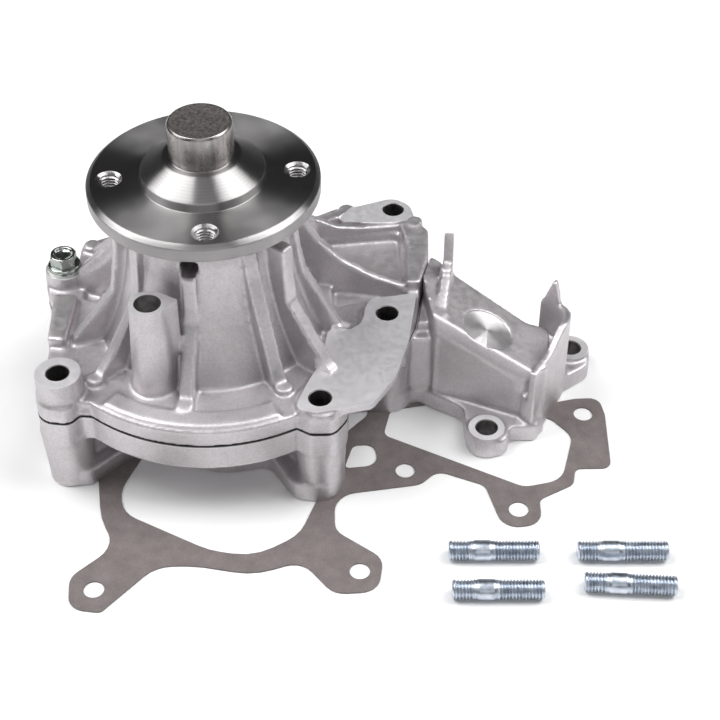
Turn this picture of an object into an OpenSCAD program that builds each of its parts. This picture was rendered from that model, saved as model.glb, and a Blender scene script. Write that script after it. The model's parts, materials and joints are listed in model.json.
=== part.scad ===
// Coolant pump: two-piece die-cast housing, fan flange, sealed ball-and-roller bearing,
// face seal, impeller, with its mounting gasket and four studs laid out beside it.
// Millimetres. Origin on the shaft axis at the engine mounting face. +Z runs up the shaft.

/* [Shaft and fan flange] */
// Radius of the pilot stub and of the shaft inside the bearing
shaft_r = 12.5; // [12:0.25:13]
// How much the flange's press seat on the shaft stands above the shaft
seat_step = 0.1; // [0.05:0.05:0.2]
// Radius of the shaft where the impeller and the face seal sit
tail_r = 8; // [7:0.5:9]
// Height of the fan flange's top face above the engine face
flange_z = 115; // [112:1:125]
// Radius of the fan flange
flange_r = 45; // [42:1:54]
// Thickness of the fan flange
flange_t = 7.4; // [6:0.2:9]
// Pitch circle of the four fan bolts
fan_pcd = 72; // [68:1:76]
// Radius of each fan bolt hole, at the root of its M8 thread
fan_hole_r = 4.1; // [3.8:0.1:4.5]
// Turn of the fan bolt pattern from +X, in degrees
fan_turn = 4.9; // [0:0.5:45]
// Length of the pilot stub above the flange's top face
stub_len = 24.6; // [20:0.5:30]

/* [Bearing] */
// Outer radius of the bearing's outer ring
ring_r = 24; // [23.5:0.25:25]
// Bore radius of the bearing's outer ring
ring_bore_r = 20; // [19.8:0.05:20.2]
// Height of the bearing's lower end above the engine face
bearing_z = 52; // [50:1:54]
// Length of the bearing
bearing_len = 38; // [36:1:40]
// Radius of each ball
ball_r = 4.4; // [4:0.1:4.6]
// Number of balls
ball_n = 10; // [8:1:10]
// Radius of each roller
roller_r = 3.6; // [3.3:0.05:3.65]
// Length of each roller
roller_len = 12; // [10:1:13]
// Number of rollers
roller_n = 12; // [9:1:12]

/* [Impeller and face seal] */
// Outer radius of the impeller
impeller_r = 33; // [28:1:34]
// Number of vanes
vane_n = 7; // [5:1:9]
// Thickness of a vane
vane_t = 2.4; // [2:0.2:3]
// Outer radius of the face seal's case
seal_r = 18; // [17:0.5:19]
// Outer radius of the running face between the carbon ring and the seat ring
face_r = 13.5; // [13:0.25:14]

/* [Housing] */
// Height of the joint between the cover and the body
joint_z = 37; // [35:0.5:39]
// Thickness of the sealing layer in that joint
joint_t = 0.6; // [0.4:0.1:1]
// Outer radius of the housing's round front at the joint
front_r = 69.3; // [68:0.5:71]
// Height of the machined plate top around the three through bolts
plate_z = 47.4; // [45:0.5:49]
// Thickness of the plate where it overhangs
plate_t = 4; // [3:0.5:5]
// Depth of the body's flange below the joint
body_flange_h = 12.5; // [11:0.5:14]
// Radius of the nose just under the fan flange
nose_r = 31; // [30:0.5:33]
// Height of the nose's top above the engine face
nose_z = 103.5; // [102:0.5:104]
// Width of the nose ribs
rib_w = 6; // [4.5:0.5:7]
// Radius of the housing bolt holes, a clearance hole for M8
bolt_hole_r = 4.4; // [4.2:0.1:4.8]
// Height of the mounting ears on the outlet elbow
ear_h = 9.5; // [8:0.5:11]
// Slope of the elbow's roof, in degrees
roof_slope = 21.4; // [18:0.5:24]
// Thickness of the volute's wall
volute_wall = 6; // [5:0.5:7]

/* [Gasket and studs] */
// Thickness of the mounting gasket
gasket_t = 0.6; // [0.4:0.1:1]
// Radius of the gasket's bolt holes
gasket_hole_r = 4; // [3.8:0.1:4.4]
// Thread radius of the studs
stud_r = 4; // [3.9:0.05:4.1]
// Length of a stud
stud_len = 35; // [30:1:40]
// Length of the stud's short thread
stud_short = 8.6; // [7:0.2:10]
// Length of the stud's long thread
stud_long = 17.6; // [15:0.2:19]

/* [Fits] */
// Play between the balls or rollers and their tracks
race_play = 0.1; // [0.05:0.05:0.2]
// Gap between pieces that turn past each other
run_gap = 0.3; // [0.25:0.05:0.5]
// Gap at the face seal's running face
face_gap = 0.1; // [0.05:0.05:0.2]

/* [Hidden] */
$fn = 64;

bright = [0.80, 0.79, 0.79];
cast = [0.72, 0.70, 0.70];
steel = [0.62, 0.61, 0.61];
eps = 0.01;
fine = 96;

// Bolt positions, seen from above
hole_a = [-57, -46.5];
hole_c = [44.5, -53];
hole_d = [71, -3];
hole_e = [74.5, 66.5];
hole_p4 = [112, -31];
hole_p5 = [151, 18];
hole_back = [-66, 49];
joint_bolt_spots = [[-63.6, 22.8], [28, 60]];
tube_spot = [-20.2, -41];
tube_top = 85;
boss_a_top = 54.5;

stud_spots = [[111.7, -92.3], [161.5, -92.5], [112.2, -111.8], [162.6, -109]];
stud_turns = [0, 0, 0, -3.4];

// Stacks derived from the driving sizes
pitch_r = (shaft_r + ring_bore_r) / 2;
bearing_top = bearing_z + bearing_len;
ball_z = bearing_top - 9;
roller_z = bearing_z + 11;
groove_r = ball_r + race_play;
seal_t = 1.6;
seal_case_z = 38;
seal_case_top = 47.5;
carbon_z = 32;
seat_top = carbon_z - face_gap;
seat_t = 4;
impeller_top = seat_top - seat_t;
impeller_z = 9;
hub_z = flange_z - flange_t - 8;
stub_top = flange_z + stub_len;
cone_foot_r = 22.5;
cone_top_r = 14.8;
cone_step = 4;
cone_h = 9.5;
relief_w = 1.2;
relief_depth = 0.4;
body_top = joint_z - joint_t;
flange_low = joint_z - body_flange_h;
rim_z = joint_z + 9;
floor_z = joint_z + 7.4;
root_z = joint_z + 2;
rim_band_r = 58.5;
pad_r = 3.6;
pad_z = joint_z + 9.8;

// A polygon whose corners [x, y, r] are rounded to radius r
function unit(v) = v / norm(v);
function corner(a, b, c) =
    let (u = unit([a.x - b.x, a.y - b.y]), v = unit([c.x - b.x, c.y - b.y]),
         half = acos(max(-1, min(1, u * v))) / 2,
         reach = min(b[2] / tan(half), norm([a.x - b.x, a.y - b.y]) * 0.48,
                     norm([c.x - b.x, c.y - b.y]) * 0.48),
         r = reach * tan(half),
         mid = [b.x, b.y] + (half > 89 ? u : unit(u + v)) * r / sin(half),
         p = [b.x, b.y] + u * reach,
         q = [b.x, b.y] + v * reach,
         a0 = atan2(p.y - mid.y, p.x - mid.x),
         turn = atan2(q.y - mid.y, q.x - mid.x) - a0,
         sweep = turn > 180 ? turn - 360 : turn < -180 ? turn + 360 : turn,
         n = max(1, ceil(abs(sweep) / 15)))
    b[2] <= 0 || half > 89 ? [[b.x, b.y]] : [for (i = [0:n]) mid + r * [cos(a0 + sweep * i / n),
            sin(a0 + sweep * i / n)]];
function rounded(p) = [for (i = [0:len(p) - 1])
    each corner(p[(i + len(p) - 1) % len(p)], p[i], p[(i + 1) % len(p)])];
function arc(c, r, a0, a1, n = 16) = [for (i = [0:n]) c + r * [cos(a0 + (a1 - a0) * i / n),
        sin(a0 + (a1 - a0) * i / n)]];

module slab(points, z0, z1) {
    translate([0, 0, z0]) linear_extrude(z1 - z0) polygon(rounded(points));
}

module column(spot, r, z0, z1, top_r = 0) {
    translate([spot.x, spot.y, z0]) cylinder(h = z1 - z0, r1 = r, r2 = top_r > 0 ? top_r : r);
}

module ring(r_in, r_out, z0, z1) {
    translate([0, 0, z0]) difference() {
        cylinder(h = z1 - z0, r = r_out, $fn = fine);
        translate([0, 0, -1]) cylinder(h = z1 - z0 + 2, r = r_in, $fn = fine);
    }
}

// Outlines, seen from above ------------------------------------------------------------

// The volute opening in the engine face
volute_points = [[-44.5, 4, 16], [-44, -9, 16], [-12, -33.5, 30], [5, -39.5, 22], [24, -31, 18],
                 [33, -14, 10], [50, 22, 8], [63, 33, 5], [57, 42, 6], [20, 44, 20], [-22, 43, 20]];
// The outlet opening in the engine face
outlet_points = [[71, 33, 4], [65.5, 18.5, 4], [117, -19.5, 8], [133, -18, 10], [143.5, 6, 8], [136, 19, 8],
                 [110, 21, 8], [90, 34, 8]];
// The bypass slot
slot_points = [[46.5, 2, 1.5], [61, 1.5, 6], [61, 14, 6], [52, 14.5, 3]];

// The body's engine-side flange
base_points = [[-66, -55, 9], [-48.5, -54.5, 6], [-33, -38.5, 4], [-18, -40.5, 10], [4, -48.5, 20],
               [23, -44.5, 6], [34, -62.5, 9], [50, -64, 8], [55, -48, 8], [38, -31, 8], [40.5, -12, 10],
               [76, -12, 8], [84, -5.5, 6], [103, -17, 6], [104, -38, 8], [120, -38.5, 8], [122, -29, 3],
               [133, -29, 3], [139.5, -14, 6], [145, -1, 6], [158.5, 9, 8], [160, 26.5, 8], [146, 27, 6],
               [133, 27, 8], [108, 29, 8], [92, 42, 8], [84, 60, 6], [83, 74, 8], [66, 76, 8],
               [60, 55, 8], [34, 53, 20], [-28, 52, 20], [-60, 59, 8], [-76, 56, 8], [-74, 40, 8],
               [-54, 22, 8], [-54, -10, 10], [-50, -26, 8], [-66, -38, 8]];
// The mounting gasket, which is wider than the body at the elbow
gasket_points = [[-67, -54.5, 8], [-55, -58, 3], [-33, -38.5, 14], [-18, -40.5, 30], [4, -48.5, 28],
                 [23, -44.5, 9], [33, -62.5, 9], [50, -64, 8], [54.5, -48, 8], [38, -31, 8],
                 [40.5, -12, 10], [76, -11.5, 8], [84, -5, 6], [101.5, -16, 5], [104, -40, 8],
                 [119.5, -40, 8], [121.5, -27, 4], [137, -21, 5], [140, -12.5, 3], [154.5, -14.5, 4],
                 [160, 16, 4], [160, 26.5, 5], [150, 27.5, 4], [133, 26, 8], [108, 28, 8], [92, 42, 8],
                 [84, 60, 6], [83, 74, 8], [66, 76, 8], [60, 54, 8], [34, 52, 20], [-28, 51, 20],
                 [-60, 59, 8], [-76, 56, 8], [-74, 40, 8], [-53, 20, 14], [-53, -10, 38], [-48, -26, 12],
                 [-66, -39, 8]];
// The joint face between the cover and the body
joint_right = [[36.2, -60, 0], [41, -63, 4], [50, -63, 6], [55, -55, 5], [56, -34, 8], [70, -12, 6],
               [79, -12, 4], [83, 0, 4], [85, 15, 4], [89, 32, 4], [89.5, 50, 4], [85, 57, 3],
               [83, 70, 7], [76, 75.5, 8], [58, 68, 4], [50, 72, 3], [40, 65.5, 6], [28, 69, 8],
               [12, 63, 8], [-28, 62, 20], [-52, 50, 5], [-60, 46, 5], [-60, 34, 5], [-72, 28, 6],
               [-71, 16, 5], [-66, 4, 20], [-64.5, -34, 6], [-67.5, -44, 8], [-65, -56, 8],
               [-53, -57.5, 5], [-49.3, -52.5, 0]];
// The machined plate on the cover's right side
plate_points = [[35.5, -57, 1.5], [36.5, -59.5, 1.5], [43, -61.3, 6], [58, -57.8, 4], [65, -56, 3],
                [74, -41, 20], [79.5, -20, 30], [83.5, 10, 1.5], [64, 5.8, 1.5], [62, 0, 2],
                [61, -10, 5], [54, -14.5, 5], [47, -12, 3], [45, -31, 2], [40, -43, 4]];
// The machined plate at the back right corner
back_plate_points = [[50, 57.5, 2], [84.5, 57, 2], [82, 69, 7], [75, 75, 8], [56, 67.5, 2]];

module joint_layout() {
    polygon(concat(arc([0, 0], front_r, -130, -59, 24), rounded(joint_right)));
}

// A vertical web standing on the line from p to q; its top follows [distance, height] points
module web(p, q, w, z0, top) {
    side = concat([[top[0][0], z0]], top, [[top[len(top) - 1][0], z0]]);
    translate([p.x, p.y, 0]) rotate([0, 0, atan2(q.y - p.y, q.x - p.x)])
        rotate([90, 0, 0]) translate([0, 0, -w / 2]) linear_extrude(w) polygon(side);
}

// A radial nose rib at an angle; its outer edge follows [radius, height] points
module nose_rib(angle, w, edge) {
    side = concat([[nose_r - 8, root_z]], [[nose_r - 8, edge[0][1]]], edge,
                  [[edge[len(edge) - 1][0], root_z]]);
    rotate([0, 0, angle]) rotate([90, 0, 0]) translate([0, 0, -w / 2]) linear_extrude(w) polygon(side);
}

// A strip of width w along a path of points
function along(path, i) = unit(path[min(i + 1, len(path) - 1)] - path[max(i - 1, 0)]);
function strip(path, w) = concat(
    [for (i = [0:len(path) - 1]) path[i] + w / 2 * [-along(path, i).y, along(path, i).x]],
    [for (i = [len(path) - 1:-1:0]) path[i] - w / 2 * [-along(path, i).y, along(path, i).x]]);
function bow(a, b, c, d, n = 12) = [for (i = [0:n]) let (t = i / n, s = 1 - t)
    s * s * s * a + 3 * s * s * t * b + 3 * s * t * t * c + t * t * t * d];

// Housing cover ------------------------------------------------------------------------

module nose() {
    flare = [for (i = [0:8]) let (t = i / 8) [nose_r + 1.5 + 12 * t * t + 2.5 * t,
                                              nose_z - 9 - (nose_z - 9 - 43) * t]];
    rotate_extrude($fn = fine)
        polygon(concat([[ring_r - 2, root_z], [ring_r - 2, nose_z], [nose_r - 1, nose_z],
                        [nose_r, nose_z - 1]], flare, [[48, root_z]]));
}

module nose_ribs() {
    low = pad_z - 0.4;
    nose_rib(-98, rib_w, [[nose_r + 4.5, 98], [nose_r + 5, 70], [53, low + 0.8], [56, low]]);
    nose_rib(-56.5, rib_w, [[nose_r + 2.5, 99], [nose_r + 5, 88], [50, 51.5], [53, low]]);
    nose_rib(-37, rib_w, [[nose_r + 10, 98.5], [nose_r + 11, 73.5], [60, 50], [63, plate_z]]);
    nose_rib(-11, rib_w - 1.5, [[nose_r + 5, 99], [nose_r + 6, 86], [nose_r + 8, 75], [53, 49], [57, low]]);
    nose_rib(-138, rib_w - 1, [[nose_r + 4.5, 98], [nose_r + 6, 74], [49.6, 56], [58, low], [60, low]]);
    nose_rib(-163, rib_w - 1, [[nose_r + 6, 99], [nose_r + 7, 84], [nose_r + 9.5, 68], [47.5, 59],
                               [58, 47]]);
    nose_rib(160, rib_w, [[nose_r + 4, 95], [nose_r + 7, 78], [62, 50.7], [64, 49.4]]);
    nose_rib(142, rib_w - 1, [[nose_r + 4, 95], [nose_r + 6, 78], [66, 48], [69, low]]);
    for (angle = [115, 90])
        nose_rib(angle, rib_w - 1, [[nose_r + 4, 98], [nose_r + 6, 74], [57, 48], [60, low]]);
    // the long web to the right-hand block, with a hollow top edge
    web([22, 24], [80, 16.5], rib_w - 1.5, root_z, [[0, 98], [9, 98], [12, 84], [16, 75], [22, 66],
                                                    [31, 57.5], [44, 50.5], [57, 46.5]]);
    // the web along the front of the back plate
    web([22, 48], [82, 57.2], rib_w - 2.5, root_z, [[0, 80], [6, 72], [12, 62], [19, 55], [28, 49.6],
                                                    [38, 48], [58, plate_z]]);
    // the short rib to the back plate's knob
    web([18, 26], [54, 68], rib_w - 1, root_z, [[0, 98], [8, 90], [18, 70], [34, 53], [46, 48.5],
                                                [54, low]]);
}

module pads() {
    spots = [[-44, -40.5], [-7.6, -55.6], [30.3, -45.5], [56.5, -8], [54, 68], [-55, 43]];
    for (spot = spots)
        column(spot, pad_r + 0.7, root_z, pad_z, pad_r);
    column([83.5, 56], pad_r + 0.7, root_z, plate_z + 2, pad_r);
    column([-46.4, -49.5], 5, root_z, 43, 3);
    column([31, -55], 5.6, root_z, 42.5, 3.4);
}

module cover_rim() {
    translate([0, 0, joint_z]) linear_extrude(floor_z - joint_z) joint_layout();
    // raised band round the front
    rotate([0, 0, -126]) rotate_extrude(angle = 62, $fn = fine)
        polygon([[rim_band_r - 1, floor_z - 1], [front_r - 1.6, floor_z - 1], [front_r - 2, rim_z - 0.4],
                 [front_r - 2.5, rim_z], [rim_band_r + 0.6, rim_z], [rim_band_r, floor_z]]);
}

module cover_plates() {
    slab(plate_points, plate_z - plate_t, plate_z);
    translate([0, 0, root_z]) linear_extrude(plate_z - root_z) intersection() {
        joint_layout();
        polygon(rounded(plate_points));
    }
    slab(back_plate_points, root_z, plate_z);
    // sloped block at the right-hand edge
    slab([[79, 14.5, 1.5], [85, 15, 2], [89, 32, 6], [89.5, 50, 3], [84, 57, 2], [77, 56, 1], [80, 40, 4]],
         root_z, 49);
    // raised block on the left edge
    slab([[-65.5, -20, 1], [-58, -21, 1.5], [-56.5, 8, 1.5], [-66.5, 8.5, 1.5]], root_z, 48.5);
}

module cover_pockets() {
    pocket_z = 40.5;
    slab([[43, 26.5, 3], [78, 21.5, 3], [77, 53.5, 3], [44, 49.5, 3]], pocket_z, floor_z + 1);
    slab([[49, 4, 3], [62, 9, 2], [80, 12, 1], [80, 14, 1], [48, 18, 2]], pocket_z, floor_z + 1);
    slab([[-55, 10, 2], [-49, 8, 2], [-44, 22, 3], [-54, 27, 3]], pocket_z + 1.5, floor_z + 1);
}

module cover_bosses() {
    column(hole_a, 9.6, root_z, boss_a_top, 9);
    column(hole_c, 9.8, root_z, plate_z - 1);
    column(hole_d, 10, root_z, plate_z - 1);
    column(tube_spot, 9.4, root_z, tube_top, 7.2);
    // pointed fins on the tube's top ring
    slab([[tube_spot.x - 6.8, tube_spot.y + 6.5, 0], [tube_spot.x - 7, tube_spot.y - 1, 0],
          [tube_spot.x, tube_spot.y - 5, 0], [tube_spot.x + 6.3, tube_spot.y - 3.4, 0],
          [tube_spot.x + 11.5, tube_spot.y + 2.2, 0], [tube_spot.x + 4, tube_spot.y + 6.5, 0]],
         tube_top - 26, tube_top);
    for (spot = joint_bolt_spots)
        column(spot, 8.8, root_z, bolt_seat_z + 0.4, 8.2);
    web([-34, 12], joint_bolt_spots[0], 7, root_z, [[0, 74], [14, 58], [24, 49.5], [29, 49.5]]);
}

module cover_bores() {
    translate([0, 0, bearing_top]) cylinder(h = 30, r = ring_r - 1.2, $fn = fine);
    translate([0, 0, bearing_z]) cylinder(h = bearing_len + eps, r = ring_r, $fn = fine);
    translate([0, 0, seal_case_top]) cylinder(h = bearing_z - seal_case_top + eps, r = ring_bore_r,
                                              $fn = fine);
    translate([0, 0, joint_z - 1]) cylinder(h = seal_case_top - joint_z + 1 + eps, r = seal_r, $fn = fine);
    // cored-out ring under the nose
    ring(ring_r + 3.5, nose_r + 5.5, joint_z - 1, 56);
    // vent through the front rib, just under the fan flange
    rotate([0, 0, -98]) translate([ring_r - 4, 0, 95]) rotate([0, 90, 0]) cylinder(h = 20, r = 3.5);
    // leak drain behind the face seal, out at the back
    rotate([0, 0, 102]) translate([seal_r - 4, 0, 49.8]) rotate([0, 90, 0]) cylinder(h = 45, r = 2);
    for (spot = [hole_a, hole_c, hole_d, hole_e])
        column(spot, bolt_hole_r, joint_z - 1, boss_a_top + 1);
    column(tube_spot, 4.9, joint_z + 6, tube_top + 1);
    for (spot = joint_bolt_spots) {
        column(spot, 3.3, joint_z - 1, 51);
        // spot face under the washer
        column(spot, 7.6, bolt_seat_z, bolt_seat_z + 10);
    }
}

module cover() {
    color(cast) difference() {
        union() {
            difference() {
                cover_rim();
                cover_pockets();
            }
            nose();
            nose_ribs();
            pads();
            cover_plates();
            cover_bosses();
        }
        cover_bores();
    }
}

// Housing body -------------------------------------------------------------------------

hood_points = [[90, -7.5, 3], [126.5, -23.5, 7], [134, -20, 3], [138, -10, 4], [140, 10, 5], [130, 9, 5],
               [101, 26, 5], [88, 38, 4], [86, 20, 0]];
outlet_inner = [[70, 31, 4], [66, 19, 3], [96, -4.5, 4], [127, -18.5, 6], [131.5, -15, 4], [134, 4, 6],
                [128, 6, 5], [100, 22, 6], [88, 31, 5]];
roof_x = 112.6;
roof_z = 38.5;
dish_spot = [112.6, -2.8];

// Everything under the elbow's sloping roof, lowered by drop
module under_roof(drop) {
    translate([roof_x, 0, roof_z - drop]) rotate([0, roof_slope, 0])
        translate([-60, -60, -80]) cube([140, 140, 80]);
}

module elbow() {
    intersection() {
        slab(hood_points, 0, 60);
        under_roof(0);
        // rounded shoulder along the front wall
        translate([108, -15, 0]) rotate([0, 0, -23.2]) rotate([0, roof_slope * 0.9, 0])
            rotate([90, 0, 90]) translate([0, 0, -60]) linear_extrude(120)
                polygon(concat([[60, -40], [60, 41]], arc([11, 28.5], 12, 90, 180, 12), [[-1, -40]]));
    }
    neck();
    fin();
    wing();
}

module neck() {
    slab([[76, -6.5, 1], [92, -6, 1], [93, 40, 2], [80, 44, 2]], 0, 36);
    translate([0, 0, 33]) slab([[77, -1, 1], [92, 0, 1], [93, 36, 2], [82, 38, 2]], 0, 6.5);
}

module fin() {
    web([92, -8.5], [97.5, 30], 4.2, 0, [[0, 38], [3, 41], [10, 46], [22, 49], [30, 50.5], [34, 52],
                                         [35.2, 66], [36.4, 66], [38, 50], [38.5, 44]]);
    column([96, 21.5], 3.2, 36, 51.5, 2.6);
    column([93.4, -1], 3, 36, 46, 2.6);
    // low rib down the front of the groove
    web([79, -7], [79, 20], 3, 0, [[0, 36], [27, 36]]);
}

wing_path = concat([[129.5, -27.5], [133.5, -21], [137.5, -14.5], [141, -8]],
                   bow([143.6, -3.5], [147.6, 4], [147.4, 13.5], [136.5, 17.5]));
module wing() {
    intersection() {
        linear_extrude(70) polygon(strip(wing_path, 3.2));
        rotate([90, 0, 90]) linear_extrude(200)
            polygon([[-40, -1], [-40, 34], [-26, 36], [-14.5, 37], [-4, 42.5], [6, 40.5], [14, 38],
                     [25, 37.5], [25, -1]]);
    }
    // spike at the back end
    web([144.5, 12.3], [137.5, 17], 3, 30, [[0, 36], [3, 50], [4.6, 50], [8.6, 38]]);
    // foot between the wing and the hood
    slab([[126, -24, 2], [130, -28, 2], [137.5, -15.5, 2], [145.5, 0, 4], [145, 14, 4], [136, 18, 2],
          [128, 8, 2]], 0, 21);
    column([133.5, -22], 3.2, 0, 35.5, 2.4);
}

module body_legs() {
    column(hole_a, 8.8, 0, flange_low + 2, 10.4);
    column(hole_c, 9, 0, flange_low + 2, 10.2);
    column(hole_d, 9.5, 0, body_top);
    column(hole_e, 9, 0, body_top);
    column(hole_back, 8.5, 0, ear_h);
    column(hole_p4, 8.2, 0, ear_h, 7.4);
    column(hole_p5, 8.4, 0, ear_h, 7.6);
    for (spot = joint_bolt_spots)
        column(spot, 7.5, flange_low - 10, body_top, 8.6);
    // webs that tie the two front legs to the volute
    web([-30, -22], hole_a, 9, 0, [[0, flange_low + 1], [36, flange_low + 1]]);
    web([24, -28], hole_c, 10, 0, [[0, flange_low + 1], [32, flange_low + 1]]);
}

module body_walls() {
    slab(base_points, 0, 8);
    linear_extrude(body_top) offset(r = volute_wall, $fn = 32) polygon(rounded(volute_points));
    translate([0, 0, flange_low]) linear_extrude(body_top - flange_low) joint_layout();
    slab([[50, -12, 4], [76, -11, 4], [80, -8, 3], [83, 0, 4], [85, 15, 4], [89, 32, 4], [89, 50, 4],
          [84, 62, 4], [82, 74, 7], [68, 75, 7], [62, 50, 8], [50, 44, 4], [44, -6, 4]], 0, body_top);
}

module body_passages() {
    slab(volute_points, -1, joint_z);
    // outlet, open at the engine face and roofed by the hood
    intersection() {
        under_roof(4.5);
        union() {
            slab(outlet_inner, -1, 31);
            intersection() {
                slab(outlet_inner, -1, 34.5);
                translate([0, 0, -2]) cube([200, 100, 60]);
            }
        }
    }
    // throat from the volute to the outlet, above the land between the two openings
    slab([[46, 18, 2], [72, 14, 2], [78, 30, 2], [52, 36, 2]], 10, 30);
    slab(slot_points, -1, 14);
    for (spot = [hole_a, hole_c, hole_d, hole_e, hole_back, hole_p4, hole_p5])
        column(spot, bolt_hole_r, -1, joint_z);
    for (spot = joint_bolt_spots)
        column(spot, 3, flange_low - 8, joint_z);
    // milled dish in the hood's roof
    translate([dish_spot.x, dish_spot.y, roof_z]) rotate([0, roof_slope, 0])
        translate([0, 0, -0.6]) cylinder(h = 5, r = 11);
}

module body() {
    color(cast) difference() {
        union() {
            body_walls();
            body_legs();
            elbow();
        }
        body_passages();
        // room for the cover and the joint's sealing layer
        translate([0, 0, body_top]) linear_extrude(plate_z - body_top + 3)
            offset(r = run_gap, $fn = 32) joint_layout();
    }
}

module joint_seal() {
    color([0.08, 0.08, 0.09]) translate([0, 0, body_top]) linear_extrude(joint_t) difference() {
        joint_layout();
        polygon(rounded(volute_points));
        for (spot = [hole_a, hole_c, hole_d, hole_e])
            translate(spot) circle(r = bolt_hole_r);
        for (spot = joint_bolt_spots)
            translate(spot) circle(r = 3.4);
    }
}

// Rotor --------------------------------------------------------------------------------

module fan_flange() {
    color(bright) difference() {
        rotate_extrude($fn = fine) polygon([[shaft_r + seat_step, hub_z], [18, hub_z], [19, hub_z + 1],
                                            [19, flange_z - flange_t - 1.5], [20.5, flange_z - flange_t],
                                            [flange_r - 0.8, flange_z - flange_t],
                                            [flange_r, flange_z - flange_t + 0.8],
                                            [flange_r, flange_z - 1.6], [flange_r - 2, flange_z],
                                            [cone_foot_r + 1, flange_z],
                                            [cone_foot_r + 1, flange_z + cone_step - 0.5],
                                            [cone_foot_r, flange_z + cone_step],
                                            [cone_top_r, flange_z + cone_h],
                                            [shaft_r + seat_step, flange_z + cone_h]]);
        for (i = [0:3])
            rotate([0, 0, fan_turn + 90 * i]) translate([fan_pcd / 2, 0, flange_z - flange_t - 1])
                cylinder(h = flange_t + 2, r = fan_hole_r);
    }
}

module shaft() {
    color(steel) difference() {
        union() {
            translate([0, 0, bearing_z - 6])
                cylinder(h = stub_top - bearing_z + 5, r = shaft_r, $fn = fine);
            translate([0, 0, hub_z])
                cylinder(h = flange_z + cone_h - hub_z, r = shaft_r + seat_step, $fn = fine);
            translate([0, 0, stub_top - 1]) cylinder(h = 1, r1 = shaft_r, r2 = shaft_r - 0.8, $fn = fine);
            translate([0, 0, impeller_z]) cylinder(h = bearing_z - 5 - impeller_z, r = tail_r, $fn = fine);
        }
        translate([0, 0, ball_z]) rotate_extrude($fn = fine) translate([pitch_r, 0]) circle(r = groove_r);
        // grinding relief at the foot of the pilot
        ring(shaft_r - relief_depth, shaft_r + 1, flange_z + cone_h, flange_z + cone_h + relief_w);
    }
}

// Bearing ------------------------------------------------------------------------------

module bearing_outer_ring() {
    color(steel) difference() {
        ring(ring_bore_r, ring_r, bearing_z, bearing_top);
        translate([0, 0, ball_z]) rotate_extrude($fn = fine) translate([pitch_r, 0]) circle(r = groove_r);
    }
}

module bearing_balls() {
    color(bright) for (i = [0:ball_n - 1])
        rotate([0, 0, 360 * i / ball_n]) translate([pitch_r, 0, ball_z]) sphere(r = ball_r);
}

module ball_cage() {
    color([0.55, 0.45, 0.25]) difference() {
        ring(pitch_r - 1.4, pitch_r + 1.4, ball_z - 4.8, ball_z + 4.8);
        for (i = [0:ball_n - 1])
            rotate([0, 0, 360 * i / ball_n]) translate([pitch_r - 6, 0, ball_z]) rotate([0, 90, 0])
                cylinder(h = 12, r = groove_r);
    }
}

module bearing_rollers() {
    roller_side = (ring_bore_r - shaft_r) / 2 - race_play;
    color(bright) for (i = [0:roller_n - 1])
        rotate([0, 0, 360 * i / roller_n]) translate([pitch_r, 0, roller_z - roller_len / 2])
            cylinder(h = roller_len, r = min(roller_r, roller_side));
}

module roller_cage() {
    color([0.55, 0.45, 0.25]) difference() {
        ring(pitch_r - 1.2, pitch_r + 1.2, roller_z - roller_len / 2 - 1.5,
             roller_z + roller_len / 2 + 1.5);
        for (i = [0:roller_n - 1])
            rotate([0, 0, 360 * i / roller_n]) translate([pitch_r, 0,
                                                          roller_z - roller_len / 2 - race_play])
                cylinder(h = roller_len + 2 * race_play, r = roller_r + race_play);
    }
}

module bearing_seal_front() {
    color([0.1, 0.1, 0.1]) ring(shaft_r + run_gap, ring_bore_r, bearing_top - seal_t - 0.4,
                                bearing_top - 0.4);
}

module bearing_seal_rear() {
    color([0.1, 0.1, 0.1]) ring(shaft_r + run_gap, ring_bore_r, bearing_z + 0.4, bearing_z + seal_t + 0.4);
}

// Face seal ----------------------------------------------------------------------------

module face_seal_case() {
    color([0.75, 0.62, 0.35]) {
        difference() {
            ring(shaft_r + 1.5, seal_r, seal_case_z, seal_case_top);
            translate([0, 0, seal_case_z - 1]) cylinder(h = seal_case_top - seal_case_z - 0.2,
                                                        r = seal_r - 1.2);
        }
    }
}

module face_seal_spring() {
    coils = 3;
    wire = 0.8;
    spring_r = seal_r - 2.4;
    bottom = seal_case_z + 1;
    rise = seal_case_top - 1.4 - 2 * wire - bottom;
    steps = 24 * coils;
    sides = 8;
    rings = [for (i = [0:steps]) let (a = 360 * coils * i / steps)
        for (j = [0:sides - 1]) let (b = 360 * j / sides, r = spring_r + wire * cos(b))
            [r * cos(a), r * sin(a), bottom + wire + rise * i / steps + wire * sin(b)]];
    walls = [for (i = [0:steps - 1], j = [0:sides - 1]) let (k = (j + 1) % sides)
        each [[i * sides + j, (i + 1) * sides + j, (i + 1) * sides + k],
              [i * sides + j, (i + 1) * sides + k, i * sides + k]]];
    caps = [[for (j = [0:sides - 1]) j], [for (j = [sides - 1:-1:0]) steps * sides + j]];
    color(steel) polyhedron(points = rings, faces = concat(walls, caps));
}

module face_seal_bellows() {
    color([0.12, 0.12, 0.12]) {
        ring(tail_r + 1, face_r - 0.6, carbon_z + 4, seal_case_z + 0.4);
        ring(tail_r + 1, tail_r + 2.4, seal_case_z + 0.4, seal_case_top - 2);
    }
}

module carbon_ring() {
    color([0.2, 0.2, 0.21]) ring(tail_r + 1, face_r - 0.5, carbon_z, carbon_z + 4);
}

module seat_ring() {
    color([0.9, 0.88, 0.84]) ring(tail_r, face_r, seat_top - seat_t, seat_top);
}

module vane(turn) {
    path = bow([12.5, 0], [20, 4], [28, 12], [impeller_r * cos(42), impeller_r * sin(42)]);
    rotate([0, 0, turn]) translate([0, 0, impeller_z + 1]) linear_extrude(impeller_top - impeller_z - 2.5)
        intersection() {
            polygon(strip(path, vane_t));
            circle(r = impeller_r - 0.4);
        }
}

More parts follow.
